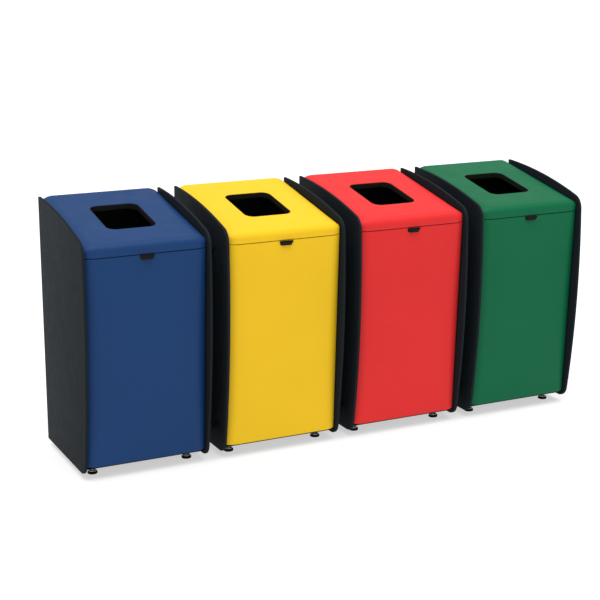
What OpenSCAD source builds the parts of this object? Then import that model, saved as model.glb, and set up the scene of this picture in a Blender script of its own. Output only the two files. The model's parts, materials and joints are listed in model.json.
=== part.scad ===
// Recycling bin station: a straight row of identical litter units, one per waste stream.
// Each unit has two proud side panels, a rear-hinged top cover with an aperture and a
// side-hung front door. Millimetres, +X along the row, +Y to the back, +Z up; the origin is
// on the floor under the middle of the row.

/* [Row] */
// Distance from one unit to the next
unit_pitch = 555; // [530:1:620]
// Width of a unit over its side panels
unit_w = 494; // [440:1:520]

/* [Side panels] */
// Height of the panels' top back corner above the floor
panel_h = 1000; // [960:1:1060]
// Depth of a panel at its most forward point
panel_depth = 543; // [530:1:560]
// Panel thickness
panel_t = 10; // [9:1:12]
// Clear height under the panels
panel_lift = 26; // [22:1:27]

/* [Skins] */
// Sheet thickness of the covers and doors
skin_t = 2; // [2:0.5:3]
// Gap between a coloured skin and the side panels
skin_gap = 3; // [2.5:0.5:4]
// Radius of the gentle arcs along the skins' long edges
edge_r = 75; // [70:1:90]
// Width of each of those arcs
edge_w = 45; // [40:1:48]
// Radius of the turn from an arc into the skin's side wall
turn_r = 4; // [3:0.5:5]
// Forward slope of the top cover in degrees
cover_slope = 10.8; // [9:0.1:12]
// Backward lean of the door towards its foot in degrees
door_lean = 3.65; // [3:0.05:4]
// Radius of the bend at the front of the top cover
bend_r = 30; // [24:1:40]
// Height of the seam between cover and door
seam_z = 854; // [840:1:860]
// Depth of the seam in front of the back plane
seam_depth = 530; // [520:1:534]
// Height of the door's lower edge
door_foot_z = 52; // [50:1:56]

/* [Aperture] */
// Aperture width across the cover
aperture_w = 194; // [160:1:240]
// Aperture length down the slope
aperture_l = 251; // [200:1:270]
// Distance of the aperture's rear edge from the cover's rear edge
aperture_back = 143; // [120:1:150]
// Aperture corner radius
aperture_r = 35; // [20:1:45]

/* [Fittings] */
// Width of the pull tab at its top
tab_w = 50; // [46:1:64]
// Height of the pull tab
tab_h = 17; // [16:1:20]
// Foot diameter
foot_d = 38; // [34:1:44]

/* [Hidden] */
COLOURS = ["blue", "yellow", "red", "green"];
SKINS = ["#3c5a8a", "#f2d52c", "#e8423f", "#2e7f58"];
UNIT_PARTS = ["side_panel_left", "side_panel_right", "rear_panel", "base_tray", "front_rail",
    "top_cover", "aperture_collar", "lid_pivots", "front_door", "door_pivots",
    "tab_bracket", "pull_tab", "liner"];
SHARED_PARTS = ["magnet_catches", "levelling_feet", "foot_studs", "foot_nuts",
    "panel_screws", "joining_spacers", "joining_bolts", "joining_nuts"];

$fn = 48;
last_unit = len(COLOURS) - 1;
row_w = last_unit * unit_pitch + unit_w;
mid_x = unit_w / 2;

// colours of the parts that every unit shares
anthracite = "#2e3234";
black = "#17181a";
steel = "#b4b8bc";
galvanised = "#8d9296";

// side panel outline: two long shallow arcs and two corner arcs
top_r = 2088;
top_tilt = 2.43;
front_r = 3856;
front_peak_z = 730;
corner_r = 56;
foot_corner_r = 50;

// sheet metal inside the unit
sheet_t = 2.5;
tray_z = 46;
tray_front = -466;
tray_flange_h = 36;
tray_flange_front = -430;
tray_flange_back = -30;
rear_inset = 2;
rear_top_z = 920;
flange_w = 25;
shelf_d = 50;
baffle_x = 24;
baffle_top_z = 965;

// running clearance and pivots
run = 0.05;
pivot_r = 5;
blind = 8;
lid_pivot = [-22, 950];
pivot_boss_r = 11;
pivot_boss_h = 7;
skirt_d = 60;
seam_gap = 3;
door_d = 44;
door_len = (seam_z - door_foot_z) / cos(door_lean) - seam_gap / 2;

// the door turns about a line set in from its left side and back from its face, so that
// its corner passes the side panel
hinge_inset = 34;
hinge_x = panel_t + skin_gap + hinge_inset;
hinge_y = 28;

// front rail, placed from the door's face and clear of the turning door; its ends are a
// hair short of the side panels
rail_y = 71;
rail_d = 36;
rail_h = 24;
rail_end_gap = 0.05;
pivot_arm_w = 34;
pivot_arm_t = 3;
lid_rest_w = 280;
lid_rest_gap = 2;

// magnet catch and the strip of the door that it holds
magnet_w = 48;
magnet_h = 14;
magnet_gap = 0.5;
strike_w = 60;
strike_h = 14;

// screws
screw_r = 3;
screw_head_r = 5.5;
screw_head_h = 3;
hole_r = screw_r + run;
back_screw_y = -15;
back_screw_zs = [80, 480, 880];
tray_screw_ys = [-120, -360];
tray_screw_z = 68;
rail_screw_ys = [rail_y + 12, rail_y + 28];
rail_screw_z = -14;

// feet
foot_x = 58;
foot_front = -386;
foot_back = -70;
pad_h = 10;
swivel_r = 15;
swivel_h = 2.5;
socket_r = 16;
socket_z = 22;
stud_r = 5;
stud_top = 60;
nut_r = 9.8;
nut_h = 6;
anchor_x = 250;
anchor_y = 200;
anchor_r = 5.5;

// ties between neighbouring units
tie_r = 4;
tie_tube_r = 12;
tie_nut_r = 7.5;
tie_spots = [[-90, 120], [-400, 120], [-90, 820], [-400, 820]];

// liner
liner_top_z = 800;
liner_wall = 3;
liner_rim = 8;

// ---- outline functions -------------------------------------------------------------

function arc(c, r, a0, a1, n) =
    [for (i = [0 : n]) let (a = a0 + (a1 - a0) * i / n) c + r * [cos(a), sin(a)]];

// centre of a circle of radius r that touches two larger circles from inside
function inside_centre(c1, r1, c2, r2, r) =
    let (d = c2 - c1, q = norm(d), p1 = r1 - r, p2 = r2 - r,
         a = (q * q + p1 * p1 - p2 * p2) / (2 * q), h = sqrt(p1 * p1 - a * a))
    c1 + d * a / q + h * [d[1], -d[0]] / q * (d[0] > 0 ? -1 : 1);

function heading(v) = atan2(v[1], v[0]) + (v[1] < 0 ? 360 : 0);

function rounded_rect(w, l, r) =
    concat(arc([w / 2 - r, l / 2 - r], r, 0, 90, 8), arc([r - w / 2, l / 2 - r], r, 90, 180, 8),
           arc([r - w / 2, r - l / 2], r, 180, 270, 8), arc([w / 2 - r, r - l / 2], r, 270, 360, 8));

// ---- frames ------------------------------------------------------------------------

module place(i) translate([i * unit_pitch - row_w / 2, panel_depth / 2, 0]) children();

// y is measured back from the door's face, z up the face from the seam
module lean_frame() translate([0, -seam_depth, seam_z]) rotate([door_lean, 0, 0]) children();

// z is measured up from the cover's crown, y up the slope from its rear edge
module slope_frame() translate([0, 0, panel_h]) rotate([cover_slope, 0, 0]) children();

// the child once for the left panel and once mirrored for the right one
module both_sides() {
    children();
    translate([unit_w, 0, 0]) mirror([1, 0, 0]) children();
}

// an outline in the Y-Z plane, extruded along +X
module side_extrude(x, w) translate([x, 0, 0]) rotate([90, 0, 90]) linear_extrude(w) children();

module x_cylinder(x0, x1, r) translate([x0, 0, 0]) rotate([0, 90, 0]) cylinder(r = r, h = x1 - x0);

// ---- places of repeated hardware ---------------------------------------------------

// a screw axis at the left panel's inner face, for the rear panel, the tray and the rail
module screw_places() {
    for (z = back_screw_zs) translate([panel_t, back_screw_y, z]) children();
    for (y = tray_screw_ys) translate([panel_t, y, tray_screw_z]) children();
    for (y = rail_screw_ys) lean_frame() translate([panel_t, y, rail_screw_z]) children();
}

module foot_places() {
    for (x = [foot_x, unit_w - foot_x], y = [foot_front, foot_back]) translate([x, y, 0]) children();
}

module anchor_places() {
    for (x = [-1, 1], y = [-1, 1])
        translate([mid_x + x * anchor_x / 2, (foot_front + foot_back) / 2 + y * anchor_y / 2, 0])
            children();
}

module tie_places() for (t = tie_spots) translate([unit_w, t[0], t[1]]) children();

// ---- side panels -------------------------------------------------------------------

module panel_outline() {
    top_c = [top_r * sin(top_tilt), panel_h - top_r * cos(top_tilt)];
    front_c = [front_r - panel_depth, front_peak_z];
    nose_c = inside_centre(top_c, top_r, front_c, front_r, corner_r);
    foot_z = panel_lift + foot_corner_r;
    foot_reach = front_r - foot_corner_r;
    foot_c = [front_c[0] - sqrt(pow(foot_reach, 2) - pow(front_peak_z - foot_z, 2)), foot_z];
    top_end = heading(nose_c - top_c);
    nose_end = heading(nose_c - front_c);
    front_end = heading(foot_c - front_c);
    polygon(concat(
        arc(top_c, top_r, 90 + top_tilt, top_end, 16),
        arc(nose_c, corner_r, top_end, nose_end, 12),
        arc(front_c, front_r, nose_end, 180, 4),
        arc(front_c, front_r, 180, front_end, 14),
        arc(foot_c, foot_corner_r, front_end, 270, 10),
        [[0, panel_lift]]));
}

module side_panel(tied) {
    color(anthracite) difference() {
        side_extrude(0, panel_t) panel_outline();
        screw_places() x_cylinder(-blind, 1, hole_r);
        translate([panel_t, lid_pivot[0], lid_pivot[1]]) x_cylinder(-blind, 1, pivot_r + run);
        if (tied)
            for (t = tie_spots) translate([0, t[0], t[1]]) x_cylinder(-1, panel_t + 1, tie_r + run);
    }
}

module side_panel_left(i) side_panel(i > 0);

module side_panel_right(i) translate([unit_w, 0, 0]) mirror([1, 0, 0]) side_panel(i < last_unit);

// ---- body --------------------------------------------------------------------------

// the back sheet with side flanges; its top is folded forward and up into a light baffle
module rear_panel() {
    z0 = tray_z + sheet_t + 1;
    h = rear_top_z - z0;
    shelf_z = rear_top_z - sheet_t;
    color(anthracite) difference() {
        union() {
            translate([panel_t, -rear_inset - sheet_t, z0])
                cube([unit_w - 2 * panel_t, sheet_t, h]);
            both_sides()
                translate([panel_t, -rear_inset - flange_w, z0]) cube([sheet_t, flange_w, h]);
            translate([panel_t, -shelf_d, shelf_z])
                cube([unit_w - 2 * panel_t, shelf_d - rear_inset, sheet_t]);
            translate([baffle_x, -shelf_d, shelf_z])
                cube([unit_w - 2 * baffle_x, sheet_t, baffle_top_z - shelf_z]);
        }
        both_sides() screw_places() x_cylinder(-1, sheet_t + 1, hole_r);
    }
}

module base_tray() {
    inner_w = unit_w - 2 * panel_t;
    rear_y = -rear_inset - sheet_t - 0.5;
    boss_z = -door_len - seam_gap / 2 - pivot_boss_h;
    color(black) difference() {
        union() {
            translate([panel_t, tray_front, tray_z]) cube([inner_w, rear_y - tray_front, sheet_t]);
            translate([panel_t + sheet_t + 0.5, rear_y - sheet_t, tray_z])
                cube([inner_w - 2 * sheet_t - 1, sheet_t, tray_flange_h]);
            both_sides() translate([panel_t, tray_flange_front, tray_z])
                cube([sheet_t, tray_flange_back - tray_flange_front, tray_flange_h]);
            lean_frame() translate([hinge_x, hinge_y, boss_z])
                cylinder(r = pivot_boss_r, h = pivot_boss_h);
            foot_places() translate([0, 0, socket_z]) cylinder(r = socket_r, h = tray_z - socket_z + 1);
        }
        lean_frame() translate([hinge_x, hinge_y, boss_z - 1])
            cylinder(r = pivot_r + run, h = pivot_boss_h + 2);
        both_sides() screw_places() x_cylinder(-1, sheet_t + 1, hole_r);
        foot_places() translate([0, 0, socket_z - 1]) cylinder(r = stud_r + 0.5, h = 40);
        anchor_places() translate([0, 0, tray_z - 1]) cylinder(r = anchor_r, h = sheet_t + 2);
    }
}

module front_rail() {
    x0 = panel_t + rail_end_gap;
    inner_w = unit_w - 2 * x0;
    rest_y = rail_y + rail_d - sheet_t;
    rest_back = seam_depth - rest_y * cos(door_lean);
    rest_top = panel_h - rest_back * tan(cover_slope) - skin_t / cos(cover_slope) - seam_z;
    rest_h = (rest_top - rest_y * sin(door_lean)) / cos(door_lean) - lid_rest_gap;
    color(galvanised) difference() {
        lean_frame() {
            translate([x0, rail_y, -sheet_t]) cube([inner_w, rail_d, sheet_t]);
            for (y = [rail_y, rest_y]) translate([x0, y, -rail_h]) cube([inner_w, sheet_t, rail_h]);
            both_sides() translate([x0, rail_y, -rail_h])
                cube([panel_t + sheet_t - x0, rail_d, rail_h]);
            translate([mid_x - lid_rest_w / 2, rest_y, -1]) cube([lid_rest_w, sheet_t, rest_h + 1]);
            translate([hinge_x - pivot_arm_w / 2, hinge_y - pivot_boss_r, 0])
                cube([pivot_arm_w, rail_y + rail_d / 2 - hinge_y, pivot_arm_t]);
        }
        lean_frame() translate([hinge_x, hinge_y, -1])
            cylinder(r = pivot_r + run, h = pivot_arm_t + 2);
        both_sides() screw_places() x_cylinder(-1, sheet_t + 1, hole_r);
    }
}

// ---- coloured skins ----------------------------------------------------------------

// a skin's long edge, inset by o, from its side wall over the small turn and the gentle arc
// to the flat; x is measured from the skin's side and y from its face
function edge_line(o) =
    let (reach = edge_w - turn_r, drop = sqrt(pow(edge_r - turn_r, 2) - pow(reach, 2)),
         a = 180 + atan2(drop, reach))
    concat(arc([turn_r, edge_r - drop], turn_r - o, 180, a, 4),
           arc([edge_w, edge_r], edge_r - o, a, 270, 8));

// section of a skin across the unit, inset by o: the face and side walls of the given depth
module face_section(o, depth) {
    x0 = panel_t + skin_gap;
    x1 = unit_w - x0;
    line = edge_line(o);
    polygon(concat(
        [[x1 - o, depth], [x0 + o, depth]],
        [for (p = line) [x0 + p[0], p[1]]],
        [for (i = [len(line) - 1 : -1 : 0]) [x1 - line[i][0], line[i][1]]]));
}

// side view of the space under the skin, inset by o
module skin_profile(o) {
    n_top = [-sin(cover_slope), cos(cover_slope)];
    n_face = [-cos(door_lean), -sin(door_lean)];
    d_top = n_top * [0, panel_h] - bend_r;
    d_face = n_face * [-seam_depth, seam_z] - bend_r;
    det = n_top[0] * n_face[1] - n_top[1] * n_face[0];
    c = [d_top * n_face[1] - n_top[1] * d_face, n_top[0] * d_face - d_top * n_face[0]] / det;
    crown_z = panel_h - o * tan(cover_slope) - o / cos(cover_slope);
    low_z = 700;
    face_y = -seam_depth + (seam_z - low_z) * tan(door_lean) + o / cos(door_lean);
    polygon(concat(
        [[-o, low_z], [-o, crown_z]],
        arc(c, bend_r - o, heading(n_top), heading(n_face), 12),
        [[face_y, low_z]]));
}

// the closed space inside the top cover's skin, inset by o from its outer surface
module cover_space(o) {
    far = 700;
    intersection() {
        side_extrude(0, unit_w) skin_profile(o);
        slope_frame() translate([0, far / 4, 0]) rotate([90, 0, 0]) linear_extrude(far * 2)
            mirror([0, 1, 0]) face_section(o, far);
        lean_frame() translate([0, 0, -far]) linear_extrude(far * 2) face_section(o, far * 2);
    }
}

module aperture_prism(grow, z0, z1) {
    slope_frame() translate([mid_x, -aperture_back / cos(cover_slope) - aperture_l / 2, z0])
        linear_extrude(z1 - z0)
            polygon(rounded_rect(aperture_w + 2 * grow, aperture_l + 2 * grow, aperture_r + grow));
}

module top_cover(i) {
    far = 1200;
    color(SKINS[i]) difference() {
        intersection() {
            difference() {
                cover_space(0);
                cover_space(skin_t);
            }
            slope_frame() translate([0, -far, -skirt_d]) cube([unit_w, far * 1.5, skirt_d * 2]);
            lean_frame() translate([0, -far, seam_gap / 2]) cube([unit_w, far * 2, far]);
        }
        aperture_prism(0, -20, 20);
        both_sides() translate([panel_t, lid_pivot[0], lid_pivot[1]])
            x_cylinder(0, 20, pivot_r + 0.02);
    }
}

module aperture_collar() {
    wall = 2.5;
    depth = 22;
    flange = 12;
    color(black) difference() {
        union() {
            aperture_prism(-0.3, -depth, -1);
            aperture_prism(flange, -skin_t - wall, -skin_t - run);
        }
        aperture_prism(-0.3 - wall, -depth - 10, 10);
    }
}

module lid_pivots() {
    skin_x = skin_gap + skin_t;
    color(steel) both_sides() translate([panel_t, lid_pivot[0], lid_pivot[1]]) {
        x_cylinder(0.5 - blind, skin_x + 3, pivot_r);
        x_cylinder(skin_x + run, skin_x + 3, pivot_r + 3);
    }
}

module front_door(i) {
    h = door_len - seam_gap / 2;
    color(SKINS[i]) lean_frame() difference() {
        translate([0, 0, -door_len]) linear_extrude(h) face_section(0, door_d);
        difference() {
            translate([0, 0, skin_t - door_len]) linear_extrude(h - 2 * skin_t)
                face_section(skin_t, door_d + 1);
            translate([mid_x - strike_w / 2, door_d - skin_t, -seam_gap / 2 - skin_t - strike_h])
                cube([strike_w, 10, strike_h + 1]);
        }
        for (z = [-door_len, -seam_gap / 2 - skin_t]) translate([hinge_x, hinge_y, z - 1])
            cylinder(r = pivot_r + 0.02, h = skin_t + 2);
    }
}

module door_pivots() {
    collar_h = 4;
    collar_r = 8;
    top_z = -seam_gap / 2 - skin_t - collar_h;
    top_h = pivot_arm_t - top_z;
    foot_h = pivot_boss_h + seam_gap / 2;
    color(steel) lean_frame() translate([hinge_x, hinge_y, 0]) {
        translate([0, 0, top_z]) cylinder(r = pivot_r, h = top_h);
        translate([0, 0, top_z]) cylinder(r = collar_r, h = collar_h);
        translate([0, 0, -door_len - foot_h]) cylinder(r = pivot_r, h = foot_h + skin_t + collar_h);
        translate([0, 0, -door_len + skin_t]) cylinder(r = collar_r, h = collar_h);
    }
}

// ---- pull tab ----------------------------------------------------------------------

tab_pin = [-5, -6];
tab_tilt = 16;
tab_t = 3;
pin_r = 1.5;
bracket_w = tab_w + 3;
bracket_t = 2;
hood_t = 1.5;
ear_t = 2.5;
ear = 8;
tab_taper = 4;
tab_top = -seam_gap / 2 - 0.4;

// a back plate with the tab's own taper, a hood over it and two ears for the trunnions
module tab_bracket() {
    x0 = mid_x - bracket_w / 2;
    foot_half = bracket_w / 2 - tab_taper;
    color(black) lean_frame() difference() {
        union() {
            translate([mid_x, 0, tab_top]) rotate([90, 0, 0]) linear_extrude(bracket_t)
                polygon([[-bracket_w / 2, 0], [bracket_w / 2, 0], [bracket_w / 2, -ear],
                    [foot_half, -tab_h], [-foot_half, -tab_h], [-bracket_w / 2, -ear]]);
            translate([x0, -ear, tab_top - hood_t]) cube([bracket_w, ear, hood_t]);
            for (x = [x0, x0 + bracket_w - ear_t])
                translate([x, -ear, tab_top - ear]) cube([ear_t, ear, ear]);
        }
        translate([mid_x, tab_pin[0], tab_pin[1]]) x_cylinder(-bracket_w, bracket_w, pin_r + run);
    }
}

// a trapezoid flap on two trunnions, its lower edge standing off the door
module pull_tab() {
    top_w = bracket_w - 2 * ear_t - 1;
    foot_w = top_w - 2 * tab_taper;
    span = bracket_w - 1;
    color("#3b3e40") lean_frame() translate([mid_x, tab_pin[0], tab_pin[1]]) {
        rotate([-tab_tilt, 0, 0]) translate([0, tab_t / 2, 0]) rotate([90, 0, 0])
            linear_extrude(tab_t) polygon([[-top_w / 2, 1.5], [top_w / 2, 1.5],
                [top_w / 2, -2], [foot_w / 2, 4 - tab_h], [-foot_w / 2, 4 - tab_h], [-top_w / 2, -2]]);
        x_cylinder(-span / 2, span / 2, pin_r);
    }
}

// ---- liner -------------------------------------------------------------------------

// plan size and centre of the liner at its foot and its top
liner_foot = [350, 356];
liner_top = [400, 408];
liner_foot_y = -208;
liner_top_y = -234;

module liner_shell(inset, z0, z1) {
    hull() {
        translate([mid_x, liner_foot_y, z0]) linear_extrude(1)
            polygon(rounded_rect(liner_foot[0] - 2 * inset, liner_foot[1] - 2 * inset, 40 - inset));
        translate([mid_x, liner_top_y, z1]) linear_extrude(1)
            polygon(rounded_rect(liner_top[0] - 2 * inset, liner_top[1] - 2 * inset, 50 - inset));
    }
}

module liner() {
    z0 = tray_z + sheet_t + 0.5;
    color("#2a2c2e") difference() {
        union() {
            liner_shell(0, z0, liner_top_z - 1);
            translate([mid_x, liner_top_y, liner_top_z - liner_wall]) linear_extrude(liner_wall)
                polygon(rounded_rect(liner_top[0] + liner_rim, liner_top[1] + liner_rim, 54));
        }
        liner_shell(liner_wall, z0 + liner_wall, liner_top_z + 1);
    }
}

// ---- shared hardware ---------------------------------------------------------------

module magnet_catch() {
    color(black) lean_frame()
        translate([mid_x - magnet_w / 2, door_d + magnet_gap, -seam_gap / 2 - skin_t - magnet_h])
            cube([magnet_w, rail_y - door_d - magnet_gap, magnet_h]);
}

module foot_pad() {
    color(black) rotate_extrude() polygon([[0, 0], [foot_d / 2 - 1, 0], [foot_d / 2, 1],
        [foot_d / 2, pad_h - 3], [foot_d / 2 - 3, pad_h], [0, pad_h]]);
}

module foot_stud() {
    color(steel) translate([0, 0, pad_h]) {
        cylinder(r = swivel_r, h = swivel_h);
        cylinder(r = stud_r, h = stud_top - pad_h);
    }
}

module hex_nut(r, h, bore) difference() {
    cylinder(r = r, h = h, $fn = 6);
    translate([0, 0, -1]) cylinder(r = bore, h = h + 2);
}

module foot_nut() {
    color(steel) translate([0, 0, tray_z + sheet_t]) hex_nut(nut_r, nut_h, stud_r + run);
}

module panel_screw() {
    color(steel) {
        x_cylinder(0.5 - blind, sheet_t + 1, screw_r);
        x_cylinder(sheet_t, sheet_t + screw_head_h, screw_head_r);
    }
}

module joining_spacer() {
    gap = unit_pitch - unit_w;
    color(black) difference() {
        x_cylinder(0, gap, tie_tube_r);
        x_cylinder(-1, gap + 1, tie_r + run);
    }
}

module joining_bolt() {
    reach = panel_t + 10;
    color(steel) x_cylinder(-reach, unit_pitch - unit_w + reach, tie_r);
}

module joining_nut_pair() {
    gap = unit_pitch - unit_w;
    color(steel) for (x = [-panel_t - nut_h, gap + panel_t]) translate([x, 0, 0])
        rotate([0, 90, 0]) hex_nut(tie_nut_r, nut_h, tie_r + run);
}

module every_unit() for (i = [0 : last_unit]) place(i) children();

module every_gap() for (i = [0 : last_unit - 1]) place(i) tie_places() children();

// ---- the parts ---------------------------------------------------------------------

for (i = [0 : last_unit]) {
    c = COLOURS[i];
    place(i) side_panel_left(i);
    place(i) side_panel_right(i);
    place(i) rear_panel();
    place(i) base_tray();
    place(i) front_rail();
    place(i) top_cover(i);
    place(i) aperture_collar();
    place(i) lid_pivots();
    place(i) front_door(i);
    place(i) door_pivots();
    place(i) tab_bracket();
    place(i) pull_tab();
    place(i) liner();
}
every_unit() magnet_catch();  // magnet_catches
every_unit() foot_places() foot_pad();  // levelling_feet
every_unit() foot_places() foot_stud();  // foot_studs
every_unit() foot_places() foot_nut();  // foot_nuts
every_unit() both_sides() screw_places() panel_screw();  // panel_screws
every_gap() joining_spacer();  // joining_spacers
every_gap() joining_bolt();  // joining_bolts
every_gap() joining_nut_pair();  // joining_nuts
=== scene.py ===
import json
import math

import bmesh
import bpy
from mathutils import Matrix, Vector

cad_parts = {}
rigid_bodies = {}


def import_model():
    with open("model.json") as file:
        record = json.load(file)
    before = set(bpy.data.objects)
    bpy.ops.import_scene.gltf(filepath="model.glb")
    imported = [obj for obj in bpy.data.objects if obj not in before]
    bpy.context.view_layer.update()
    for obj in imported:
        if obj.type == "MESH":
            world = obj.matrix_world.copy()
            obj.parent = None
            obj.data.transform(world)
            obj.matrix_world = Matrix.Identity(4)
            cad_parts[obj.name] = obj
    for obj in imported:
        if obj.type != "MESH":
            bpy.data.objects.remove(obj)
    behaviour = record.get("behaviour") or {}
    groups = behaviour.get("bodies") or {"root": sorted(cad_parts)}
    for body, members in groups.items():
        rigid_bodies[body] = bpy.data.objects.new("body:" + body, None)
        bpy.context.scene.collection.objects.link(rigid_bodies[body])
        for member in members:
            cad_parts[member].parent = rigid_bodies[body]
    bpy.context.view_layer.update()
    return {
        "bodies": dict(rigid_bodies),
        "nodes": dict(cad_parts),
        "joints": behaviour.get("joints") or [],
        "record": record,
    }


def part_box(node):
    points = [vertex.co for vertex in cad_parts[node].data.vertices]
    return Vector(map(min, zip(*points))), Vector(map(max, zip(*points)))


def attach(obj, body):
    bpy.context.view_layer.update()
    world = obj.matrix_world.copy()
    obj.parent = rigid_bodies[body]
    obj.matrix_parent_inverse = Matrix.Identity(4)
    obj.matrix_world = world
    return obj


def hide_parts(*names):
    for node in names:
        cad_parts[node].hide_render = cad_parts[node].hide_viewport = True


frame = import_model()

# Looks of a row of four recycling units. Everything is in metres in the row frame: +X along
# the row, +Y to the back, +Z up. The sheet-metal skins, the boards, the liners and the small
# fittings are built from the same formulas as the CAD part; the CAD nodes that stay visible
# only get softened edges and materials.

COLOURS = ("blue", "yellow", "red", "green")

# ---- dimensions of one unit --------------------------------------------------------
# x from the left board's outer face, y from the boards' back edges, z from the floor.

UNIT_W = 0.494
PANEL_H = 1.0
PANEL_DEPTH = 0.543
PANEL_T = 0.010
PANEL_LIFT = 0.026
TOP_R = 2.088
TOP_TILT = 2.43
FRONT_R = 3.856
FRONT_PEAK_Z = 0.730
NOSE_R = 0.056
FOOT_CORNER_R = 0.050

SKIN_GAP = 0.003
SKIN_T = 0.002
EDGE_R = 0.075
EDGE_W = 0.045
TURN_R = 0.004
BEND_R = 0.030
COVER_SLOPE = math.radians(10.8)
DOOR_LEAN = math.radians(3.65)
SEAM_Z = 0.854
SEAM_DEPTH = 0.530
SEAM_GAP = 0.003
SKIRT_D = 0.060
DOOR_FOOT_Z = 0.052
DOOR_D = 0.044
DOOR_LEN = (SEAM_Z - DOOR_FOOT_Z) / math.cos(DOOR_LEAN) - SEAM_GAP / 2
FOLD_R = 0.0025

APERTURE_W = 0.194
APERTURE_L = 0.251
APERTURE_BACK = 0.143
APERTURE_R = 0.035
ROLL_R = 0.0016
COLLAR_WALL = 0.0025
COLLAR_D = 0.022
COLLAR_FLANGE = 0.012
COLLAR_INSET = 0.0003
COLLAR_LIP_D = 0.001

# bag clip on the throat's back wall: places from the unit's middle and from the crown
CLIP_X = 0.012
CLIP_Z = -0.020
CLIP_PROUD = 0.0022
CLIP_SIZE = (0.048, 0.0030, 0.015)
CLIP_RIB_XS = (0.023, 0.046)
CLIP_RIB_Z = -0.017
CLIP_RIB_PROUD = 0.0036
CLIP_RIB_SIZE = (0.003, 0.0024, 0.009)

STRIKE_W = 0.060
STRIKE_H = 0.014
RAIL_Y = 0.071
MAGNET_W = 0.048
MAGNET_H = 0.014
MAGNET_GAP = 0.0005
POLE_W = 0.038
POLE_H = 0.0025
POLE_T = 0.001
POLE_PROUD = 0.0003

TAB_PIN = (-0.005, -0.006)
TAB_TILT = math.radians(16)
TAB_T = 0.003
TAB_TOP_W = 0.047
TAB_FOOT_W = 0.039
TAB_RISE = 0.0015
TAB_KNEE = -0.002
TAB_DROP = -0.013
TAB_CORNER_R = 0.002
TAB_CHAMFER = 0.0006
TAB_RIM_W = 0.0028
TAB_PANEL_SLOPE = 0.0004
TAB_SPAN = 0.052
TAB_PIN_R = 0.0015

# screw places on the left board's inner face: (y, z), and two more in the door's frame
SCREWS = ((-0.015, 0.080), (-0.015, 0.480), (-0.015, 0.880), (-0.120, 0.068), (-0.360, 0.068))
RAIL_SCREWS = ((RAIL_Y + 0.012, -0.014), (RAIL_Y + 0.028, -0.014))
SCREW_R = 0.003
SCREW_TIP = -0.0075
SCREW_HEAD_R = 0.0055
SCREW_HEAD_Z = 0.0025
SCREW_HEAD_H = 0.003
SOCKET_AF = 0.004
SOCKET_D = 0.0018

FOOT_X = 0.058
FOOT_YS = (-0.386, -0.070)
PAD_R = 0.019
PAD_H = 0.010
SWIVEL_R = 0.015
SWIVEL_H = 0.0025
STUD_R = 0.005
STUD_TOP = 0.060
THREAD_PITCH = 0.0015
THREAD_DEPTH = 0.0007

LINER_FLOOR_Z = 0.049
LINER_TOP_Z = 0.800
LINER_WALL = 0.003
LINER_RIM = 0.004
LINER_RIM_H = 0.014
LINER_BAND_ZS = (0.240, 0.560)
LINER_BAND_H = 0.031
LINER_BAND_D = 0.0022
LINER_BAND_RAMP = 0.003
# width, length, corner radius and y of the liner's plan at its foot and its top
LINER_FOOT = (0.350, 0.356, 0.040, -0.208)
LINER_TOP = (0.400, 0.408, 0.050, -0.234)

# radii of the rounded edges
BOARD_EDGE_R = 0.0009
COVER_EDGE_R = 0.0005
FITTING_EDGE_R = 0.0004

MID_X = UNIT_W / 2
SIDE_X = PANEL_T + SKIN_GAP
LEAN_FRAME = Matrix.Translation((0, -SEAM_DEPTH, SEAM_Z)) @ Matrix.Rotation(DOOR_LEAN, 4, "X")
SLOPE_FRAME = Matrix.Translation((0, 0, PANEL_H)) @ Matrix.Rotation(COVER_SLOPE, 4, "X")
MIRROR = Matrix.Translation((UNIT_W, 0, 0)) @ Matrix.Diagonal((-1, 1, 1, 1))


def unit_offset(colour):
    """Where a unit's own origin lies in the row frame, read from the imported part."""
    low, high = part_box(f"{colour}_side_panel_left")
    return Matrix.Translation((low.x, high.y, 0))


# ---- outlines ----------------------------------------------------------------------


def arc(centre, radius, start, end, count):
    """Points on a circle from start to end, in degrees, with both ends."""
    angles = [math.radians(start + (end - start) * k / count) for k in range(count + 1)]
    return [(centre[0] + radius * math.cos(a), centre[1] + radius * math.sin(a)) for a in angles]


def heading(vector):
    """Direction of a plane vector in degrees, from 0 to 360."""
    return math.degrees(math.atan2(vector[1], vector[0])) % 360


def inside_centre(c1, r1, c2, r2, radius):
    """Centre of a circle that touches two larger circles from inside."""
    c1, c2 = Vector(c1), Vector(c2)
    between = c2 - c1
    span = between.length
    along = (span**2 + (r1 - radius) ** 2 - (r2 - radius) ** 2) / (2 * span)
    across = math.sqrt((r1 - radius) ** 2 - along**2)
    side = -1 if between.x > 0 else 1
    return c1 + between * along / span + side * across / span * Vector((between.y, -between.x))


def rounded_rect(width, length, radius, steps=8):
    """Four lists of corner points of a rounded rectangle, anticlockwise from +x +y."""
    w, h = width / 2 - radius, length / 2 - radius
    centres = ((w, h), (-w, h), (-w, -h), (w, -h))
    return [arc(c, radius, 90 * k, 90 * k + 90, steps) for k, c in enumerate(centres)]


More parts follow.
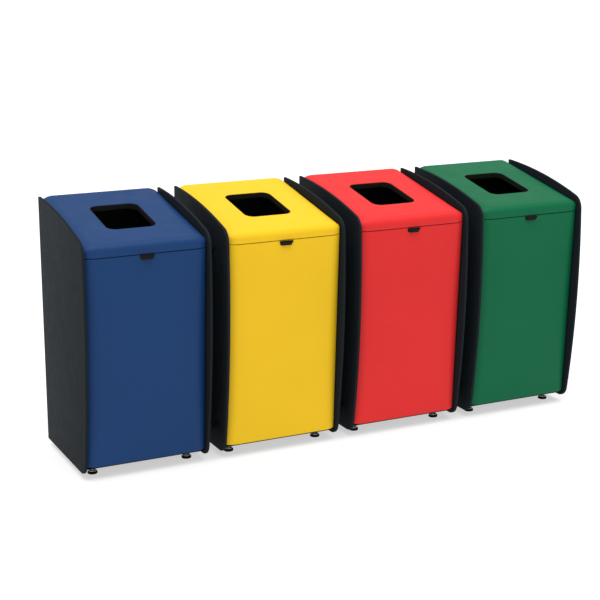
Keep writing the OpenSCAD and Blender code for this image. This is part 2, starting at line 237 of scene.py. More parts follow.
def panel_outline():
    """Side board outline in the Y-Z plane: two long shallow arcs joined by a small one."""
    top_tilt = math.radians(TOP_TILT)
    top_c = Vector((TOP_R * math.sin(top_tilt), PANEL_H - TOP_R * math.cos(top_tilt)))
    front_c = Vector((FRONT_R - PANEL_DEPTH, FRONT_PEAK_Z))
    nose_c = inside_centre(top_c, TOP_R, front_c, FRONT_R, NOSE_R)
    foot_z = PANEL_LIFT + FOOT_CORNER_R
    reach = math.sqrt((FRONT_R - FOOT_CORNER_R) ** 2 - (FRONT_PEAK_Z - foot_z) ** 2)
    foot_c = Vector((front_c.x - reach, foot_z))
    top_end = heading(nose_c - top_c)
    nose_end = heading(nose_c - front_c)
    front_end = heading(foot_c - front_c)
    return (
        arc(top_c, TOP_R, 90 + TOP_TILT, top_end, 32)
        + arc(nose_c, NOSE_R, top_end, nose_end, 24)[1:]
        + arc(front_c, FRONT_R, nose_end, front_end, 40)[1:]
        + arc(foot_c, FOOT_CORNER_R, front_end, 270, 20)[1:]
        + [(0, PANEL_LIFT)]
    )


def bend_centre():
    """Centre of the cover's front bend, and the headings where it starts and ends."""
    n_top = Vector((-math.sin(COVER_SLOPE), math.cos(COVER_SLOPE)))
    n_face = Vector((-math.cos(DOOR_LEAN), -math.sin(DOOR_LEAN)))
    d_top = n_top.dot((0, PANEL_H)) - BEND_R
    d_face = n_face.dot((-SEAM_DEPTH, SEAM_Z)) - BEND_R
    det = n_top.x * n_face.y - n_top.y * n_face.x
    y = (d_top * n_face.y - n_top.y * d_face) / det
    z = (n_top.x * d_face - d_top * n_face.x) / det
    return (y, z), heading(n_top), heading(n_face)


def edge_line(inset, turn_steps=5, arc_steps=12):
    """A skin's long edge, from its side wall over a small turn and a gentle arc to the flat.

    The points are (distance from the skin's side, depth under its face).
    """
    reach = EDGE_W - TURN_R
    drop = math.sqrt((EDGE_R - TURN_R) ** 2 - reach**2)
    meet = 180 + math.degrees(math.atan2(drop, reach))
    turn = arc((TURN_R, EDGE_R - drop), TURN_R - inset, 180, meet, turn_steps)
    return turn + arc((EDGE_W, EDGE_R), EDGE_R - inset, meet, 270, arc_steps)[1:]


def cover_profile(depth, steps=18):
    """Side view of the cover's skin at a depth under its crown, from the back to the seam."""
    centre, top, face = bend_centre()
    crown_z = PANEL_H - depth / math.cos(COVER_SLOPE)
    seam = LEAN_FRAME @ Vector((0, depth, SEAM_GAP / 2))
    return [(0, crown_z)] + arc(centre, BEND_R - depth, top, face, steps) + [(seam.y, seam.z)]


# ---- mesh building -----------------------------------------------------------------


class Shape:
    """Vertices and faces of one mesh, gathered row by row; slot is the next faces' material."""

    def __init__(self):
        self.points = []
        self.faces = []
        self.slots = []
        self.slot = 0

    def row(self, points, frame=Matrix.Identity(4)):
        start = len(self.points)
        self.points.extend(frame @ Vector(p) for p in points)
        return list(range(start, len(self.points)))

    def strip(self, a, b, closed=False):
        quads = list(zip(a, a[1:] + a[:1], b[1:] + b[:1], b))
        self.add(quads if closed else quads[:-1])

    def loft(self, rows, closed=True):
        for a, b in zip(rows, rows[1:]):
            self.strip(a, b, closed)

    def face(self, indices):
        self.add([tuple(indices)])

    def add(self, faces):
        self.faces.extend(faces)
        self.slots.extend([self.slot] * len(faces))

    def mesh(self, name):
        mesh = bpy.data.meshes.new(name)
        mesh.from_pydata([tuple(p) for p in self.points], [], self.faces)
        tidy = bmesh.new()
        tidy.from_mesh(mesh)
        for face, slot in zip(tidy.faces, self.slots):
            face.material_index = slot
        bmesh.ops.remove_doubles(tidy, verts=tidy.verts, dist=1e-6)
        bmesh.ops.recalc_face_normals(tidy, faces=tidy.faces)
        tidy.to_mesh(mesh)
        tidy.free()
        mesh.shade_smooth()
        return mesh


def thicken(obj, thickness):
    """Gives an open skin its sheet thickness on the inner side."""
    solid = obj.modifiers.new("sheet", "SOLIDIFY")
    solid.thickness = thickness
    solid.offset = -1
    solid.use_even_offset = True


def soften(obj, width, segments=2, angle=35):
    """Rounds every edge sharper than the angle, so that it catches a highlight."""
    bevel = obj.modifiers.new("edges", "BEVEL")
    bevel.width = width
    bevel.segments = segments
    bevel.limit_method = "ANGLE"
    bevel.angle_limit = math.radians(angle)
    bevel.harden_normals = True
    bevel.miter_outer = "MITER_ARC"


def calm(obj):
    """Lets large flat faces rule the shading of the small curved ones beside them."""
    normals = obj.modifiers.new("normals", "WEIGHTED_NORMAL")
    normals.keep_sharp = True


def applied(obj):
    """The object's mesh with its modifiers applied; the object itself is removed."""
    depsgraph = bpy.context.evaluated_depsgraph_get()
    mesh = bpy.data.meshes.new_from_object(obj.evaluated_get(depsgraph))
    bpy.data.objects.remove(obj)
    return mesh


def linked(name, mesh):
    obj = bpy.data.objects.new(name, mesh)
    bpy.context.scene.collection.objects.link(obj)
    return obj


def place(name, mesh, body, materials, replaced, offset=Matrix.Identity(4)):
    """Puts a copy of a unit-frame mesh into the row, ties it to its body and hides the nodes it replaces.
    """
    own = mesh.copy()
    own.name = name
    own.transform(offset)
    own.materials.clear()
    for material in materials:
        own.materials.append(material)
    obj = linked(name, own)
    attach(obj, body)
    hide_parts(*replaced)
    calm(obj)
    return obj


def lathe(shape, profile, frame, steps=40):
    """Adds a turned body: profile is (radius, height) from bottom to top along the frame's z."""
    rows = []
    for radius, height in profile:
        ring = [(math.cos(a) * radius, math.sin(a) * radius, height)
                for a in (2 * math.pi * k / steps for k in range(steps))]
        rows.append(shape.row(ring, frame))
    shape.loft(rows)
    shape.face(rows[0][::-1])
    shape.face(rows[-1])


# ---- materials ---------------------------------------------------------------------


class Surface:
    """A node material built around one Principled shader, in the object's own metres."""

    def __init__(self, name):
        self.material = bpy.data.materials.new(name)
        self.material.use_nodes = True
        self.tree = self.material.node_tree
        self.shader = self.tree.nodes["Principled BSDF"]
        self.coords = self.tree.nodes.new("ShaderNodeTexCoord").outputs["Object"]

    def node(self, kind, **inputs):
        node = self.tree.nodes.new(kind)
        for name, value in inputs.items():
            self.feed(node.inputs[name.replace("_", " ")], value)
        return node

    def feed(self, socket, value):
        if isinstance(value, bpy.types.NodeSocket):
            self.tree.links.new(value, socket)
        else:
            socket.default_value = value

    def noise(self, scale, detail=2.0):
        noise = self.node("ShaderNodeTexNoise", Vector=self.coords, Scale=scale, Detail=detail)
        return noise.outputs["Fac"]

    def spread(self, fac, low, high, start=0.3, end=0.7):
        ranged = self.node("ShaderNodeMapRange", Value=fac)
        for name, value in (("From Min", start), ("From Max", end), ("To Min", low), ("To Max", high)):
            ranged.inputs[name].default_value = value
        return ranged.outputs[0]

    def blend(self, fac, a, b):
        mix = self.tree.nodes.new("ShaderNodeMix")
        mix.data_type = "RGBA"
        self.feed(mix.inputs["Factor"], fac)
        self.feed(mix.inputs["A"], a)
        self.feed(mix.inputs["B"], b)
        return mix.outputs["Result"]

    def bump(self, height, distance, strength):
        return self.node("ShaderNodeBump", Height=height, Distance=distance, Strength=strength).outputs[0]

    def finish(self, **inputs):
        for name, value in inputs.items():
            self.feed(self.shader.inputs[name.replace("_", " ")], value)
        return self.material


def shade(colour, factor):
    return (*(min(1.0, c * factor) for c in colour), 1.0)


def powder_coat(name, colour, roughness=0.46, specular=0.11):
    """Satin powder coat: faint orange peel, slow tone drift and a little handling gloss."""
    s = Surface(name)
    drift = s.spread(s.noise(2.2, 3.0), 0.0, 1.0)
    speckle = s.spread(s.noise(420.0, 2.0), 0.0, 1.0)
    tone = s.blend(drift, shade(colour, 0.965), shade(colour, 1.03))
    base = s.blend(s.spread(speckle, 0.0, 0.10, 0.0, 1.0), tone, shade(colour, 0.90))
    peel = s.bump(s.noise(260.0, 2.0), 0.00018, 0.35)
    gloss = s.spread(s.noise(14.0, 4.0), roughness - 0.05, roughness + 0.05)
    return s.finish(Base_Color=base, Roughness=gloss, Normal=peel, Specular_IOR_Level=specular)


def laminate(name, colour, roughness=0.55, specular=0.02):
    """Matt compact board: tight stipple, faint clouding."""
    s = Surface(name)
    cloud = s.spread(s.noise(3.0, 2.0), 0.0, 1.0)
    base = s.blend(cloud, shade(colour, 0.97), shade(colour, 1.03))
    stipple = s.bump(s.noise(900.0, 3.0), 0.00010, 0.25)
    gloss = s.spread(s.noise(30.0, 3.0), roughness - 0.03, roughness + 0.03)
    return s.finish(Base_Color=base, Roughness=gloss, Normal=stipple, Specular_IOR_Level=specular)


def moulding(name, colour, roughness=0.5, specular=0.15):
    """Injection-moulded plastic with a fine spark-eroded grain."""
    s = Surface(name)
    drift = s.spread(s.noise(18.0, 3.0), 0.0, 1.0)
    base = s.blend(drift, shade(colour, 0.9), shade(colour, 1.1))
    grain = s.bump(s.noise(1400.0, 2.0), 0.0001, 0.5)
    gloss = s.spread(s.noise(60.0, 3.0), roughness - 0.07, roughness + 0.07)
    return s.finish(Base_Color=base, Roughness=gloss, Normal=grain, Specular_IOR_Level=specular)


def zinc(name, colour, crystal, roughness=0.38):
    """Galvanised or plated steel: crystals that differ in tone and gloss."""
    s = Surface(name)
    cells = s.node("ShaderNodeTexVoronoi", Vector=s.coords, Scale=crystal)
    tone = s.spread(cells.outputs["Color"], 0.0, 1.0, 0.0, 1.0)
    base = s.blend(tone, shade(colour, 0.82), shade(colour, 1.12))
    gloss = s.spread(cells.outputs["Color"], roughness - 0.08, roughness + 0.1, 0.0, 1.0)
    brushed = s.bump(s.noise(500.0, 2.0), 0.00008, 0.3)
    return s.finish(Base_Color=base, Roughness=gloss, Normal=brushed, Metallic=1.0)


def rubber(name, colour):
    """Dull rubber, a little dusty."""
    s = Surface(name)
    dust = s.spread(s.noise(90.0, 4.0), 0.0, 0.35, 0.45, 0.75)
    base = s.blend(dust, shade(colour, 1.0), (0.016, 0.0155, 0.015, 1.0))
    grain = s.bump(s.noise(700.0, 3.0), 0.0002, 0.5)
    return s.finish(Base_Color=base, Roughness=0.78, Normal=grain, Specular_IOR_Level=0.1)


PAINTS = {
    "blue": (0.0074, 0.0370, 0.1230),
    "yellow": (0.7200, 0.4450, 0.0120),
    "red": (0.6150, 0.0235, 0.0240),
    "green": (0.0015, 0.1060, 0.0420),
}
paint = {c: powder_coat(f"{c}_powder_coat", rgb) for c, rgb in PAINTS.items()}
board_face = laminate("board_face", (0.0115, 0.0150, 0.0180))
board_core = laminate("board_core", (0.0030, 0.0032, 0.0036), 0.8)
black_sheet = powder_coat("black_sheet", (0.010, 0.0105, 0.011), 0.5)
panel_sheet = powder_coat("panel_sheet", (0.0125, 0.0150, 0.0165), 0.5)
galvanised = zinc("galvanised", (0.52, 0.54, 0.56), 160.0)
bright_steel = zinc("bright_steel", (0.70, 0.70, 0.69), 600.0, 0.28)
black_moulding = moulding("black_moulding", (0.0040, 0.0040, 0.0045))
collar_moulding = moulding("collar_moulding", (0.0130, 0.0130, 0.0110), 0.6, 0.05)
clip_moulding = moulding("clip_moulding", (0.0420, 0.0390, 0.0250), 0.6, 0.05)
tab_moulding = moulding("tab_moulding", (0.0060, 0.0062, 0.0070), 0.5)
liner_moulding = moulding("liner_moulding", (0.0150, 0.0155, 0.0165), 0.6)
foot_rubber = rubber("foot_rubber", (0.004, 0.004, 0.004))

# ---- side boards -------------------------------------------------------------------


def board_mesh():
    """One side board: laminate faces (slot 0) and a dark core all round the edge (slot 1)."""
    outline = panel_outline()
    shape = Shape()
    outer = shape.row([(0, y, z) for y, z in outline])
    inner = shape.row([(PANEL_T, y, z) for y, z in outline])
    shape.face(outer)
    shape.face(inner)
    shape.slot = 1
    shape.strip(outer, inner, closed=True)
    return shape.mesh("board")


# ---- covers ------------------------------------------------------------------------


def aperture_ring(grow, depth, steps=8):
    """Corner lists of the aperture outline, grown outwards, at a depth under the crown."""
    centre = Vector((MID_X, -APERTURE_BACK / math.cos(COVER_SLOPE) - APERTURE_L / 2))
    corners = rounded_rect(APERTURE_W + 2 * grow, APERTURE_L + 2 * grow, APERTURE_R + grow, steps)
    return [[(centre.x + x, centre.y + y, -depth) for x, y in corner] for corner in corners]


def cover_mesh(roll_steps=4):
    """The cover's skin: crown, rounded long edges, front bend, side and back walls."""
    shape = Shape()
    columns = [(SIDE_X + x, depth) for x, depth in edge_line(0)]
    middle = len(columns) - 1
    columns += [(UNIT_W - x, depth) for x, depth in reversed(columns)]
    rows = [shape.row([(x, y, z) for y, z in cover_profile(depth)]) for x, depth in columns]
    for k, (a, b) in enumerate(zip(rows, rows[1:])):
        if k == middle:
            shape.strip(a[1:], b[1:])
        else:
            shape.strip(a, b)

    # the flat crown around the aperture, and the aperture's rolled edge
    left, right = rows[middle], rows[middle + 1]
    corners = [right[0], left[0], left[1], right[1]]
    rings = []
    for k in range(roll_steps + 1):
        turn = math.radians(90 * k / roll_steps)
        ring = aperture_ring(ROLL_R * (1 - math.sin(turn)), ROLL_R * (1 - math.cos(turn)))
        rings.append([shape.row(corner, SLOPE_FRAME) for corner in ring])
    for k, corner in enumerate(corners):
        near = rings[0][k]
        for a, b in zip(near, near[1:]):
            shape.face((corner, a, b))
        shape.face((corner, near[-1], rings[0][(k + 1) % 4][0], corners[(k + 1) % 4]))
    shape.loft([sum(ring, []) for ring in rings])

    # side walls down to the skirt, and the back wall
    skirt_z = PANEL_H - SKIRT_D / math.cos(COVER_SLOPE)
    seam_back = LEAN_FRAME @ Vector((0, columns[0][1], SEAM_GAP / 2))
    rise = math.tan(COVER_SLOPE)
    fall = math.tan(DOOR_LEAN)
    meet_y = (seam_back.z - fall * seam_back.y - skirt_z) / (rise - fall)
    meet_z = skirt_z + rise * meet_y
    skirts = []
    for row, x in ((rows[0], SIDE_X), (rows[-1], UNIT_W - SIDE_X)):
        low_front, low_back = shape.row([(x, meet_y, meet_z), (x, 0, skirt_z)])
        shape.face(row + [low_front, low_back])
        skirts.append(low_back)
    shape.face([skirts[0]] + [row[0] for row in rows] + [skirts[1]])

    skin = linked("cover", shape.mesh("cover"))
    thicken(skin, SKIN_T)
    soften(skin, COVER_EDGE_R)
    return applied(skin)


def collar_mesh(clipped):
    """The moulded throat under the aperture, with a rounded lip and, if asked, a bag clip."""
    shape = Shape()
    lip = COLLAR_WALL / 2
    inner = -COLLAR_INSET - COLLAR_WALL
    outer = -COLLAR_INSET
    section = [(outer, COLLAR_D)]
    section += [(outer, SKIN_T + COLLAR_WALL), (COLLAR_FLANGE, SKIN_T + COLLAR_WALL)]
    section += [(COLLAR_FLANGE, SKIN_T), (outer, SKIN_T)]
    section += [(inner + lip + y, COLLAR_LIP_D + lip - z) for y, z in arc((0, 0), lip, 0, 180, 6)]
    section += [(inner, COLLAR_D)]
    rows = [sum((shape.row(c, SLOPE_FRAME) for c in aperture_ring(g, d)), []) for g, d in section]
    shape.loft(rows + rows[:1])
    if clipped:
        add_clip(shape)
    return finished(shape, "collar", FITTING_EDGE_R)


def add_clip(shape):
    """A raised bag clip (slot 1) on the throat's back wall, right of the middle, with two ribs."""
    shape.slot = 1
    wall = -APERTURE_BACK / math.cos(COVER_SLOPE) - COLLAR_INSET - COLLAR_WALL
    add_block(shape, SLOPE_FRAME, (MID_X + CLIP_X, wall - CLIP_PROUD, CLIP_Z), CLIP_SIZE)
    for x in CLIP_RIB_XS:
        add_block(shape, SLOPE_FRAME, (MID_X + x, wall - CLIP_RIB_PROUD, CLIP_RIB_Z), CLIP_RIB_SIZE)


def add_block(shape, frame, corner, size):
    """A box by its lowest corner and its size, with its edges left for the bevel."""
    x, y, z = corner
    w, d, h = size
    low = shape.row([(x, y, z), (x + w, y, z), (x + w, y + d, z), (x, y + d, z)], frame)
    high = shape.row([(x, y, z + h), (x + w, y, z + h), (x + w, y + d, z + h), (x, y + d, z + h)], frame)
    shape.strip(low, high, closed=True)
    shape.face(low[::-1])
    shape.face(high)


def finished(shape, name, width, segments=2):
    """A shape's mesh with its edges softened for good."""
    obj = linked(name, shape.mesh(name))
    soften(obj, width, segments)
    return applied(obj)


# ---- doors -------------------------------------------------------------------------


def door_section(inset):
    """Plan section of the door from its left return round to its right one."""
    left = [(SIDE_X + inset, DOOR_D)] + [(SIDE_X + x, y) for x, y in edge_line(inset)]
    return left + [(UNIT_W - x, y) for x, y in reversed(left)]


def door_mesh(fold_steps=4):
    """The door's pressed skin with folded top and bottom flanges."""
    shape = Shape()
    levels = []
    for k in range(fold_steps + 1):
        turn = math.radians(90 * k / fold_steps)
        levels.append((FOLD_R * (1 - math.sin(turn)), FOLD_R * (1 - math.cos(turn))))
    bottom = [(inset, -DOOR_LEN + lift) for inset, lift in levels]
    top = [(inset, -SEAM_GAP / 2 - drop) for inset, drop in reversed(levels)]
    rows = [shape.row([(x, y, z) for x, y in door_section(inset)], LEAN_FRAME)
            for inset, z in bottom + top]
    shape.loft(rows, closed=False)
    shape.face(rows[0])
    shape.face(rows[-1])
    skin = linked("door", shape.mesh("door"))
    thicken(skin, SKIN_T)
    soften(skin, FITTING_EDGE_R)
    joined = bmesh.new()
    joined.from_mesh(applied(skin))
    joined.from_mesh(strike_mesh())
    mesh = bpy.data.meshes.new("door_and_strike")
    joined.to_mesh(mesh)
    joined.free()
    return mesh


def strike_mesh():
    """The strip at the door's top back edge that the magnet holds."""
    shape = Shape()
    corner = (MID_X - STRIKE_W / 2, DOOR_D - SKIN_T, -SEAM_GAP / 2 - SKIN_T - STRIKE_H)
    add_block(shape, LEAN_FRAME, corner, (STRIKE_W, SKIN_T, STRIKE_H + SKIN_T / 2))
    return finished(shape, "strike", FITTING_EDGE_R)


# ---- fittings ----------------------------------------------------------------------


def tab_ring(shape, frame, inset, y):
    """The tab's outline with rounded lower corners, drawn in by about the inset."""
    half_top, half_foot = TAB_TOP_W / 2, TAB_FOOT_W / 2
    corner_x = half_foot - 1.1 * TAB_CORNER_R
    corner_z = TAB_DROP + TAB_CORNER_R
    outline = [(half_top, TAB_RISE), (-half_top, TAB_RISE), (-half_top, TAB_KNEE)]
    outline += arc((-corner_x, corner_z), TAB_CORNER_R, 198, 270, 4)
    outline += arc((corner_x, corner_z), TAB_CORNER_R, 270, 342, 4)
    outline += [(half_top, TAB_KNEE)]
    middle_z = (TAB_RISE + TAB_DROP) / 2
    x_scale = 1 - inset / half_foot
    z_scale = 1 - inset / (TAB_RISE - middle_z)
    return shape.row([(x * x_scale, y, middle_z + (z - middle_z) * z_scale) for x, z in outline], frame)


def tab_mesh():
    """The pull tab: a chamfered flap (slot 0) with a sunk finger panel (slot 1), on its pin."""
    shape = Shape()
    pin = LEAN_FRAME @ Matrix.Translation((MID_X, *TAB_PIN))
    across = pin @ Matrix.Rotation(math.radians(90), 4, "Y")
    lathe(shape, [(TAB_PIN_R, -TAB_SPAN / 2), (TAB_PIN_R, TAB_SPAN / 2)], across, 20)
    tilted = pin @ Matrix.Rotation(-TAB_TILT, 4, "X")
    half = TAB_T / 2
    side = half - TAB_CHAMFER
    section = [(TAB_CHAMFER, half), (0, side), (0, -side), (TAB_CHAMFER, -half),
               (TAB_RIM_W, -half), (TAB_RIM_W + TAB_PANEL_SLOPE, -side)]
    rows = [tab_ring(shape, tilted, inset, y) for inset, y in section]
    shape.loft(rows)
    shape.face(rows[0])
    shape.slot = 1
    shape.face(rows[-1])
    return shape.mesh("tab")


def magnet_mesh():
    """Magnet catches of all four units: a moulded case (slot 0) and two pole plates (slot 1)."""
    shape = Shape()
    x0, y0 = MID_X - MAGNET_W / 2, DOOR_D + MAGNET_GAP
    z0 = -SEAM_GAP / 2 - SKIN_T - MAGNET_H
    pole_x = MID_X - POLE_W / 2
    for colour in COLOURS:
        frame = unit_offset(colour) @ LEAN_FRAME
        shape.slot = 0
        add_block(shape, frame, (x0, y0, z0), (MAGNET_W, RAIL_Y - y0, MAGNET_H))
        shape.slot = 1
        for z in (z0 + MAGNET_H / 4, z0 + 3 * MAGNET_H / 4):
            add_block(shape, frame, (pole_x, y0 - POLE_PROUD, z - POLE_H / 2), (POLE_W, POLE_T, POLE_H))
    return shape.mesh("magnets")


def hexagon_radius(across_flats, angle):
    """Distance from a hexagon's centre to its side at an angle."""
    return across_flats / 2 / math.cos(angle % (math.pi / 3) - math.pi / 6)


def add_screw(shape, frame, steps=24):
    """A button-head screw along the frame's x: shank, domed head and hexagon socket."""
    turned = frame @ Matrix.Rotation(math.radians(90), 4, "Y")
    angles = [2 * math.pi * k / steps for k in range(steps)]
    top = SCREW_HEAD_Z + SCREW_HEAD_H
    profile = [(SCREW_R - 0.0006, SCREW_TIP), (SCREW_R, SCREW_TIP + 0.0006), (SCREW_R, SCREW_HEAD_Z),
               (SCREW_HEAD_R, SCREW_HEAD_Z), (SCREW_HEAD_R, SCREW_HEAD_Z + 0.0008),
               (SCREW_HEAD_R * 0.93, SCREW_HEAD_Z + 0.0018), (SCREW_HEAD_R * 0.78, top - 0.0004),
               (SCREW_HEAD_R * 0.56, top)]
    rings = [[(radius, z)] * steps for radius, z in profile]
    for z in (top, top - SOCKET_D):
        rings.append([(hexagon_radius(SOCKET_AF, a), z) for a in angles])
    rows = [shape.row([(r * math.cos(a), r * math.sin(a), z) for a, (r, z) in zip(angles, ring)], turned)
            for ring in rings]
    shape.loft(rows)
    shape.face(rows[0])
    shape.face(rows[-1])


def screws_mesh():
    """The screws that hold the rear panels, trays and rails to all eight boards."""
    shape = Shape()
    for colour in COLOURS:
        for side in (Matrix.Identity(4), MIRROR):
            base = unit_offset(colour) @ side
            for y, z in SCREWS:
                add_screw(shape, base @ Matrix.Translation((PANEL_T, y, z)))
            for y, z in RAIL_SCREWS:
                add_screw(shape, base @ LEAN_FRAME @ Matrix.Translation((PANEL_T, y, z)))
    return shape.mesh("screws")


# ---- liners ------------------------------------------------------------------------


def liner_ring(shape, z, inset, steps=10):
    """A rounded rectangle at height z, inset from the liner's outer wall."""
    t = (z - LINER_FLOOR_Z) / (LINER_TOP_Z - LINER_FLOOR_Z)
    width, length, radius, y = (a + (b - a) * t for a, b in zip(LINER_FOOT, LINER_TOP))
    corners = rounded_rect(width - 2 * inset, length - 2 * inset, radius - inset, steps)
    return shape.row([(MID_X + px, y + py, z) for corner in corners for px, py in corner])


def liner_mesh():
    """Tapered inner bin with a turned rim, two stiffening bands and a raised floor."""
    shape = Shape()
    outer = [(LINER_FLOOR_Z, 0.006), (LINER_FLOOR_Z + 0.0018, 0.0018), (LINER_FLOOR_Z + 0.006, 0.0)]
    for low in LINER_BAND_ZS:
        high = low + LINER_BAND_H
        outer += [(low, 0), (low + LINER_BAND_RAMP, LINER_BAND_D),
                  (high - LINER_BAND_RAMP, LINER_BAND_D), (high, 0)]
    rim_z = LINER_TOP_Z - LINER_RIM_H
    rim = [(rim_z, 0), (rim_z, -LINER_RIM), (LINER_TOP_Z - 0.002, -LINER_RIM),
           (LINER_TOP_Z - 0.0005, -LINER_RIM + 0.0008), (LINER_TOP_Z, -LINER_RIM + 0.002),
           (LINER_TOP_Z, LINER_WALL - 0.001), (LINER_TOP_Z - 0.001, LINER_WALL)]
    inner_z = LINER_FLOOR_Z + LINER_WALL
    inner = [(z, inset + LINER_WALL) for z, inset in reversed(outer[3:])]
    inner += [(inner_z + 0.008, LINER_WALL), (inner_z + 0.002, LINER_WALL + 0.003),
              (inner_z, LINER_WALL + 0.010)]
    rows = [liner_ring(shape, z, inset) for z, inset in outer + rim + inner]
    shape.loft(rows)
    shape.face(rows[0])
    shape.face(rows[-1])
    return finished(shape, "liner", 0.0006)


# ---- feet --------------------------------------------------------------------------


def pad_profile():
    return [(PAD_R - 0.003, 0), (PAD_R - 0.0008, 0.0003), (PAD_R, 0.0012), (PAD_R, 0.0042),
            (PAD_R - 0.0007, 0.0046), (PAD_R - 0.0007, 0.0054), (PAD_R, 0.0058),
            (PAD_R, 0.0066), (PAD_R - 0.0006, 0.0076), (PAD_R - 0.0030, PAD_H - 0.0004),
            (PAD_R - 0.0042, PAD_H)]


def swivel_profile():
    top = PAD_H + SWIVEL_H
    return [(SWIVEL_R - 0.0006, PAD_H), (SWIVEL_R, PAD_H + 0.0006), (SWIVEL_R, top - 0.0008),
            (SWIVEL_R - 0.0008, top), (STUD_R + 0.003, top)]


def stud_profile():
    """A threaded rod as a row of shallow grooves."""
    z = PAD_H + SWIVEL_H / 2
    profile = [(STUD_R - THREAD_DEPTH, z)]
    while z < STUD_TOP - 2 * THREAD_PITCH:
        profile += [(STUD_R - THREAD_DEPTH, z + 0.1 * THREAD_PITCH), (STUD_R, z + 0.45 * THREAD_PITCH),
                    (STUD_R, z + 0.55 * THREAD_PITCH), (STUD_R - THREAD_DEPTH, z + 0.9 * THREAD_PITCH)]
        z += THREAD_PITCH
    return profile + [(STUD_R - THREAD_DEPTH, STUD_TOP)]


def at_feet(profiles, name, steps=40):
    """Turned bodies under all sixteen foot places."""
    shape = Shape()
    for colour in COLOURS:
        for x in (FOOT_X, UNIT_W - FOOT_X):
            for y in FOOT_YS:
                for profile in profiles:
                    lathe(shape, profile, unit_offset(colour) @ Matrix.Translation((x, y, 0)), steps)
    return shape.mesh(name)


# ---- pieces ------------------------------------------------------------------------

board = board_mesh()
cover = cover_mesh()
door = door_mesh()
liner = liner_mesh()
collars = {True: collar_mesh(True), False: collar_mesh(False)}
tab = tab_mesh()

for colour in COLOURS:
    at = unit_offset(colour)
    skin = [paint[colour]]
    for side, turn in (("left", Matrix.Identity(4)), ("right", MIRROR)):
        piece = place(f"{colour}_board_{side}", board, "root", [board_face, board_core],
                      [f"{colour}_side_panel_{side}"], at @ turn)
        if side == "right":
            piece.data.flip_normals()
        soften(piece, BOARD_EDGE_R, 3)
    place(f"{colour}_cover_skin", cover, f"{colour}_cover", skin,
          [f"{colour}_top_cover"], at)
    place(f"{colour}_door_skin", door, f"{colour}_door", skin,
          [f"{colour}_front_door"], at)
    place(f"{colour}_collar", collars[colour != "green"], f"{colour}_cover",
          [collar_moulding, clip_moulding], [f"{colour}_aperture_collar"], at)
    place(f"{colour}_inner_bin", liner, "root", [liner_moulding],
          [f"{colour}_liner"], at)
    place(f"{colour}_finger_tab", tab, f"{colour}_tab",
          [black_moulding, tab_moulding], [f"{colour}_pull_tab"], at)

place("foot_pads", at_feet([pad_profile()], "foot_pads"), "root", [foot_rubber],
      ["levelling_feet"])
place("threaded_feet", at_feet([swivel_profile(), stud_profile()], "threaded_feet", 28), "root",
      [bright_steel], ["foot_studs"])
place("board_screws", screws_mesh(), "root", [bright_steel], ["panel_screws"])
magnets = place("magnets", magnet_mesh(), "root", [black_moulding, bright_steel],
                ["magnet_catches"])
soften(magnets, 0.0003)

# ---- CAD nodes that stay -----------------------------------------------------------

KEPT = {
    "rear_panel": (panel_sheet, 0.0006),
    "base_tray": (black_sheet, 0.0006),
    "front_rail": (galvanised, 0.0005),
    "lid_pivots": (bright_steel, 0.0004),
    "door_pivots": (bright_steel, 0.0004),
    "tab_bracket": (black_moulding, 0.0004),
    "foot_nuts": (bright_steel, 0.0005),
    "joining_spacers": (black_moulding, 0.0008),
    "joining_bolts": (bright_steel, 0.0004),
    "joining_nuts": (bright_steel, 0.0005),
}
for name, obj in frame["nodes"].items():
    kind = name.split("_", 1)[1] if name.split("_", 1)[0] in COLOURS else name
    if kind in KEPT:
        material, width = KEPT[kind]
        obj.data.materials.clear()
        obj.data.materials.append(material)
        weld = obj.modifiers.new("weld", "WELD")
        weld.merge_threshold = 1e-5
        soften(obj, width)

# ---- floor, light and camera -------------------------------------------------------


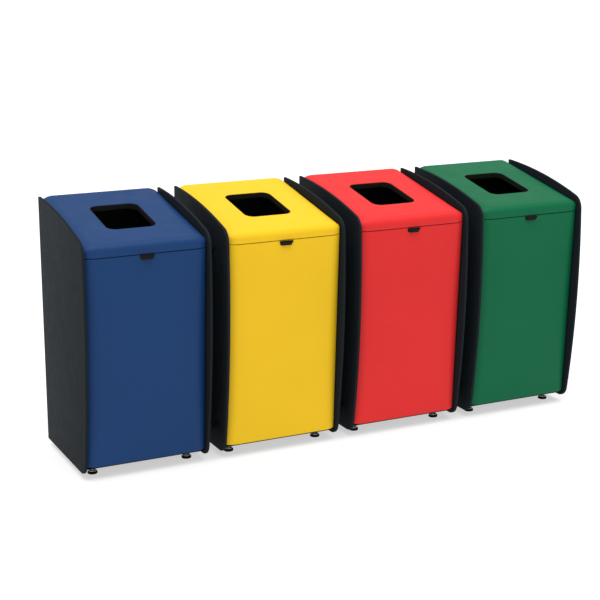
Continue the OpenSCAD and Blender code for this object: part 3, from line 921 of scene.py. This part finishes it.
def floor():
    """A pale floor that glows a little, like a light table, so that shadows stay soft."""
    shape = Shape()
    reach = 80.0
    shape.face(shape.row([(-reach, -reach, 0), (reach, -reach, 0), (reach, reach, 0), (-reach, reach, 0)]))
    s = Surface("pale_floor")
    tone = s.blend(s.spread(s.noise(1.5, 3.0), 0.0, 1.0), (0.41, 0.41, 0.41, 1), (0.43, 0.43, 0.43, 1))
    mesh = shape.mesh("floor")
    mesh.materials.append(s.finish(Base_Color=tone, Roughness=0.9, Specular_IOR_Level=0.1,
                                   Emission_Color=(1, 1, 1, 1), Emission_Strength=0.55))
    linked("floor", mesh)


def soft_sun(name, direction, angle, strength):
    """A wide light from very far away, as even on the floor as on the row."""
    data = bpy.data.lights.new(name, "SUN")
    data.angle = math.radians(angle)
    data.energy = strength
    lamp = linked(name, data)
    lamp.rotation_euler = Vector(direction).to_track_quat("-Z", "Y").to_euler()


def studio():
    """A white sweep for the camera and an even, slightly dimmer sky for the light."""
    world = bpy.data.worlds.new("studio")
    world.use_nodes = True
    bpy.context.scene.world = world
    nodes, links = world.node_tree.nodes, world.node_tree.links
    sky = nodes["Background"]
    sky.inputs["Color"].default_value = (1, 1, 1, 1)
    sky.inputs["Strength"].default_value = 0.65
    backdrop = nodes.new("ShaderNodeBackground")
    backdrop.inputs["Color"].default_value = (1, 1, 1, 1)
    backdrop.inputs["Strength"].default_value = 1.0
    path = nodes.new("ShaderNodeLightPath")
    mix = nodes.new("ShaderNodeMixShader")
    links.new(path.outputs["Is Camera Ray"], mix.inputs["Fac"])
    links.new(sky.outputs[0], mix.inputs[1])
    links.new(backdrop.outputs[0], mix.inputs[2])
    links.new(mix.outputs[0], nodes["World Output"].inputs["Surface"])
    bpy.context.scene.view_settings.view_transform = "Standard"
    soft_sun("overhead", direction=(0.10, 0.22, -1.0), angle=65, strength=3.4)


def photo_camera():
    """The fitted camera: position, heading and dip from the row's corners."""
    data = bpy.data.cameras.new("camera")
    data.sensor_width = 36.0
    data.lens = 87.556
    data.shift_x = -0.0417
    data.shift_y = -0.0667
    data.clip_end = 200.0
    camera = linked("camera", data)
    camera.location = (-2.5627, -5.1534, 1.9741)
    camera.rotation_euler = (math.radians(90 - 12.502), 0, math.radians(-26.579))
    bpy.context.scene.camera = camera


floor()
studio()
photo_camera()
